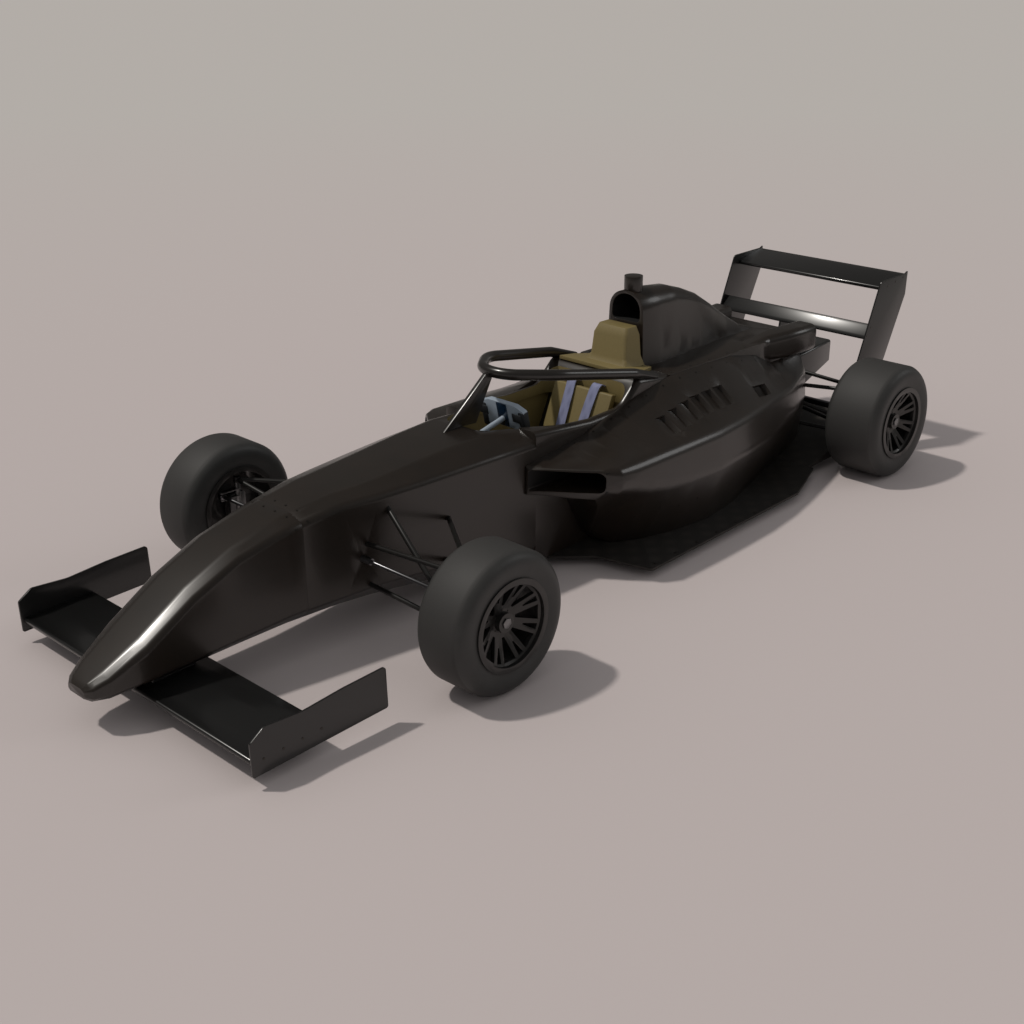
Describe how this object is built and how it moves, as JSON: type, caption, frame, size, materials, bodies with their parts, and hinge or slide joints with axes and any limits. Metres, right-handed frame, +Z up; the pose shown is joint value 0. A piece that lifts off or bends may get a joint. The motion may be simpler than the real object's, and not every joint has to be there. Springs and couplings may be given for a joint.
{
  "type": "open wheel single seat racing car",
  "caption": "Open wheel single seat racing car with a halo, slick tyres on forked spoke rims, front and rear wings, sidepods and linked steering.",
  "frame": {"origin": "on the ground under the middle of the car's overall length and width", "axes": "+X to the car's left, +Y towards the tail, nose to -Y, +Z up"},
  "size_m": [1.85, 4.708, 1.098],
  "materials": {
    "body_carbon": "satin black clear-coated carbon laminate with a brownish sheen",
    "aero_carbon": "smooth dark carbon wing skins, semi gloss",
    "floor_carbon": "matt dark carbon laminate",
    "aramid_liner": "khaki aramid composite, matt, with a fine weave",
    "halo_metal": "titanium tube in satin black paint",
    "arm_steel": "black painted steel tube",
    "tyre_rubber": "smooth slick racing rubber",
    "rim_metal": "gunmetal painted cast wheel, satin",
    "upright_metal": "machined aluminium",
    "gearbox_metal": "cast aluminium case, grey",
    "engine_metal": "plain block standing for the engine",
    "grip_plastic": "light grey moulded housing of the hand wheel",
    "shaft_steel": "ground steel shaft"
  },
  "bodies": {
    "chassis": {"monocoque": "body_carbon", "nose_cone": "body_carbon", "engine_cover": "body_carbon", "sidepod_left": "body_carbon", "sidepod_right": "body_carbon", "camera_pod": "body_carbon", "front_wing": "aero_carbon", "front_endplate_left": "aero_carbon", "front_endplate_right": "aero_carbon", "rear_wing_plane": "aero_carbon", "beam_wing": "aero_carbon", "rear_endplate_left": "aero_carbon", "rear_endplate_right": "aero_carbon", "wing_pylons": "aero_carbon", "crash_structure": "aero_carbon", "floor": "floor_carbon", "diffuser": "floor_carbon", "head_surround": "aramid_liner", "seat": "aramid_liner", "halo": "halo_metal", "halo_pylon": "halo_metal", "front_arms_left": "arm_steel", "front_arms_right": "arm_steel", "rear_arms_left": "arm_steel", "rear_arms_right": "arm_steel", "gearbox": "gearbox_metal", "engine_block": "engine_metal", "upright_rear_left": "upright_metal", "upright_rear_right": "upright_metal"},
    "rack": {"steering_rack": "shaft_steel"},
    "hand_wheel": {"steering_wheel": "grip_plastic"},
    "wheel_front_left": {"tyre_front_left": "tyre_rubber", "rim_front_left": "rim_metal"},
    "wheel_rear_left": {"tyre_rear_left": "tyre_rubber", "rim_rear_left": "rim_metal", "driveshaft_left": "shaft_steel"},
    "knuckle_left": {"upright_front_left": "upright_metal"},
    "wheel_front_right": {"tyre_front_right": "tyre_rubber", "rim_front_right": "rim_metal"},
    "wheel_rear_right": {"tyre_rear_right": "tyre_rubber", "rim_rear_right": "rim_metal", "driveshaft_right": "shaft_steel"},
    "knuckle_right": {"upright_front_right": "upright_metal"}
  },
  "joints": [
    {"name": "steer_left", "type": "hinge", "parent": "chassis", "child": "knuckle_left", "pos_m": [0.712, -1.139, 0.28], "axis": [0, 0, 1], "range_deg": [-17, 17]},
    {"name": "steer_right", "type": "hinge", "parent": "chassis", "child": "knuckle_right", "pos_m": [-0.712, -1.139, 0.28], "axis": [0, 0, 1], "range_deg": [-17, 17]},
    {"name": "rack_slide", "type": "slide", "parent": "chassis", "child": "rack", "axis": [1, 0, 0], "range_m": [-0.024, 0.024]},
    {"name": "hand_wheel_turn", "type": "hinge", "parent": "chassis", "child": "hand_wheel", "pos_m": [0, -0.234, 0.622], "axis": [0, 0.9722, 0.2343], "range_deg": [-170, 170]},
    {"name": "spin_front_left", "type": "hinge", "parent": "knuckle_left", "child": "wheel_front_left", "pos_m": [0.807, -1.139, 0.28], "axis": [1, 0, 0], "continuous": true},
    {"name": "spin_front_right", "type": "hinge", "parent": "knuckle_right", "child": "wheel_front_right", "pos_m": [-0.807, -1.139, 0.28], "axis": [1, 0, 0], "continuous": true},
    {"name": "spin_rear_left", "type": "hinge", "parent": "chassis", "child": "wheel_rear_left", "pos_m": [0.675, 1.786, 0.285], "axis": [1, 0, 0], "continuous": true},
    {"name": "spin_rear_right", "type": "hinge", "parent": "chassis", "child": "wheel_rear_right", "pos_m": [-0.675, 1.786, 0.285], "axis": [1, 0, 0], "continuous": true}
  ],
  "couplings": [
    {"joint": "steer_right", "follows": "steer_left", "ratio": 1},
    {"joint": "rack_slide", "follows": "steer_left", "m_per_rad": 0.08},
    {"joint": "hand_wheel_turn", "follows": "steer_left", "ratio": 10}
  ]
}
